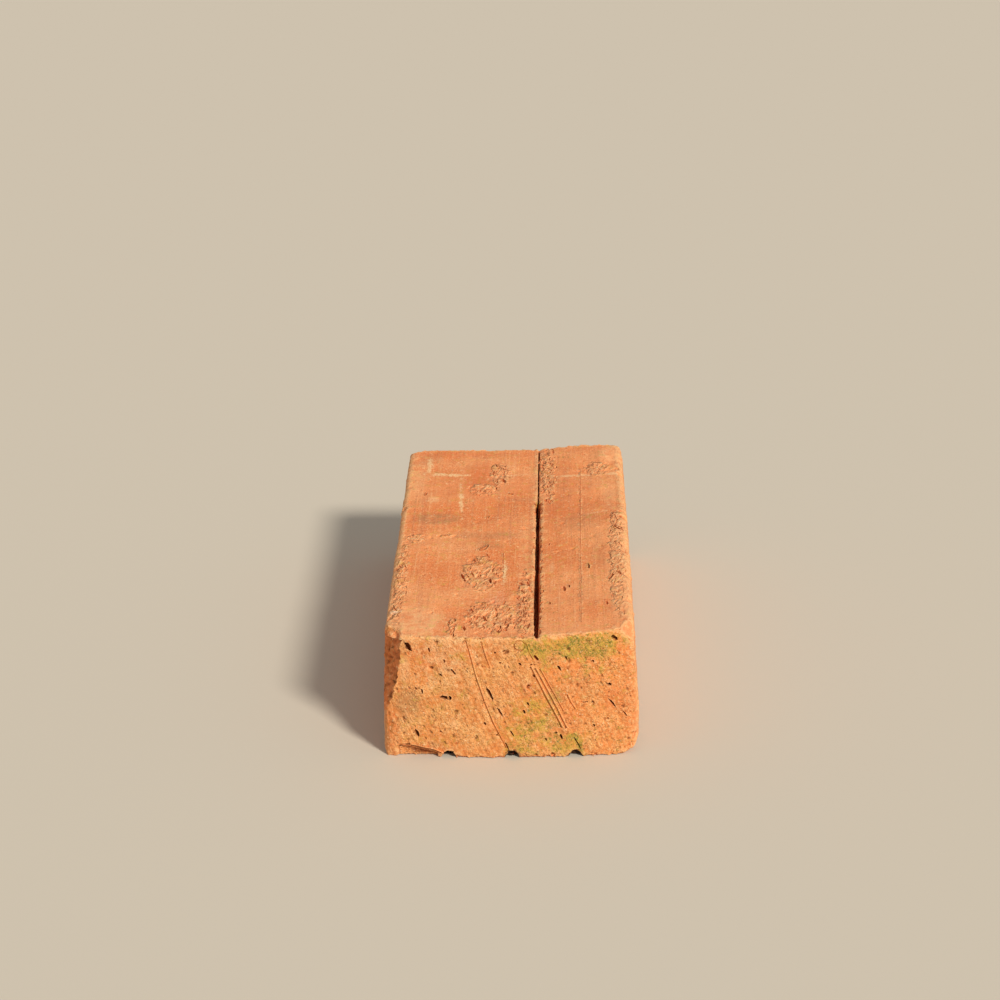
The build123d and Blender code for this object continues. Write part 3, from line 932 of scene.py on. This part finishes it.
# Single grains: pale sand, dark ironstone and red grog.
speck = within(grain_edge, 0.42, 0.22)
colour = cover(colour, paint(255, 214, 164), times(speck, within(grain_kind, 0.92, 0.95, 0.0, 0.55)))
ironstone = times(within(grain_kind, 0.05, 0.03), maths("ADD", times(cut_end, 0.5), 0.15))
colour = cover(colour, paint(120, 66, 36), times(speck, ironstone))
grog = within(maths("ABSOLUTE", maths("SUBTRACT", grain_kind, 0.5)), 0.03, 0.02, 0.0, 0.6)
colour = cover(colour, paint(214, 92, 48), times(speck, grog))


def smear(colour, tint, strength, middle, reach, turn=0.0):
    """Lays a soft-ended mark on the top bed. Middle and reach are in millimetres."""
    away = nodes.new("ShaderNodeVectorMath")
    away.operation = "LENGTH"
    feed(laid(1, (*reach, 20), (0, 0, radians(turn)), middle), away.inputs[0])
    wobble = times(maths("SUBTRACT", ragged, 0.5), 6.0)
    amount = within(maths("ADD", away.outputs["Value"], wobble), 1.3, 0.2, 0.0, strength)
    return cover(colour, tint, times(amount, within(fine, 0.36, 0.58, 0.3, 1.0)))


# Lime and cream mortar left scratches and smears on the top bed. Middle, reach, turn and strength.
CREAM = paint(250, 206, 148)
LIME = paint(240, 214, 178)
CREAM_MARKS = [
    ((-43.4, 91.0, 56), (1.3, 13.0), 1, 0.9),
    ((-34.6, 78.5, 56), (2.0, 11.0), -100, 1.0),
    ((-26.6, 46.0, 56), (1.0, 21.0), 2, 1.0),
    ((-4.4, -42.0, 56), (1.0, 15.0), 0, 1.0),
    ((27.0, 75.0, 57), (1.4, 9.0), 90, 0.7),
    ((45.0, 75.0, 58), (1.4, 4.0), 90, 0.8),
    ((-30.0, -113.5, 56), (1.4, 18.0), 90, 0.5),
    ((36.0, 24.0, 58), (1.2, 6.0), -70, 0.45),
    ((-2.0, 78.0, 56), (1.6, 6.0), -70, 0.4),
    ((16.4, -40.0, 57), (1.2, 9.0), 0, 0.35),
]
for middle, reach, turn, strength in CREAM_MARKS:
    colour = smear(colour, CREAM, strength, middle, reach, turn)
colour = smear(colour, LIME, 0.95, (-50.0, -87.0, 55), (3.2, 1.6))
colour = smear(colour, paint(236, 190, 168), 0.14, (-8.0, -72.0, 56), (5.0, 7.0))
body = nodes["Principled BSDF"]
feed(colour, body.inputs["Base Color"])

# It is dry to the touch, and a little closed where the die pressed it.
body.inputs["Specular IOR Level"].default_value = 0.3
feed(within(maths("ADD", cut_end, times(sand, 0.5)), 0.1, 1.2, 0.78, 0.95), body.inputs["Roughness"])
slid_height = maths("ADD", times(streaks, 0.14), times(hairlines, 0.12))
slid_height = maths("ADD", slid_height, times(sand, 0.2))
cut_height = maths("ADD", times(sand, 0.5), times(drag, 0.35))
cut_height = maths("ADD", cut_height, times(times(fine, patchy), 0.5))
cut_height = maths("SUBTRACT", cut_height, times(pits, 0.35))
relief = nodes.new("ShaderNodeMix")
feed(maths("MAXIMUM", cut_end, maths("MAXIMUM", times(worn, 0.8), times(torn, 0.7))), relief.inputs[0])
feed(slid_height, relief.inputs[2])
feed(cut_height, relief.inputs[3])
height = maths("ADD", relief.outputs[0], times(fine, 0.2))
height = maths("ADD", height, times(times(torn, scales), 0.9))
bump = nodes.new("ShaderNodeBump")
bump.inputs["Strength"].default_value = 1.0
bump.inputs["Distance"].default_value = MM
feed(height, bump.inputs["Height"])
feed(bump.outputs["Normal"], body.inputs["Normal"])

brick.data.materials.append(clay)
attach(brick, "root")
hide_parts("brick")

# The floor is plain and pale, and wide enough to fill the view.
bpy.ops.mesh.primitive_plane_add(size=12)
floor = bpy.context.object
floor.name = "floor"
pale = bpy.data.materials.new("pale_floor")
pale.use_nodes = True
pale.node_tree.nodes["Principled BSDF"].inputs["Base Color"].default_value = paint(210, 198, 178)
pale.node_tree.nodes["Principled BSDF"].inputs["Roughness"].default_value = 0.95
floor.data.materials.append(pale)

# One large soft lamp stands to the right, in front of the brick. The room fills the rest evenly, and it
# is a little cooler than the lamp.
TOWARDS_KEY = Vector((0.495, -0.63, 0.60))
bpy.ops.object.light_add(type="SUN", location=TOWARDS_KEY)
key = bpy.context.object
key.name = "key_lamp"
key.rotation_euler = TOWARDS_KEY.to_track_quat("Z", "Y").to_euler()
key.data.energy = 3.1
key.data.angle = radians(11)
key.data.color = (1.0, 0.97, 0.92)

world = bpy.data.worlds.new("room")
bpy.context.scene.world = world
world.use_nodes = True
world.node_tree.nodes["Background"].inputs["Color"].default_value = (0.96, 0.97, 1.0, 1)
world.node_tree.nodes["Background"].inputs["Strength"].default_value = 0.38
bpy.context.scene.view_settings.view_transform = "Standard"
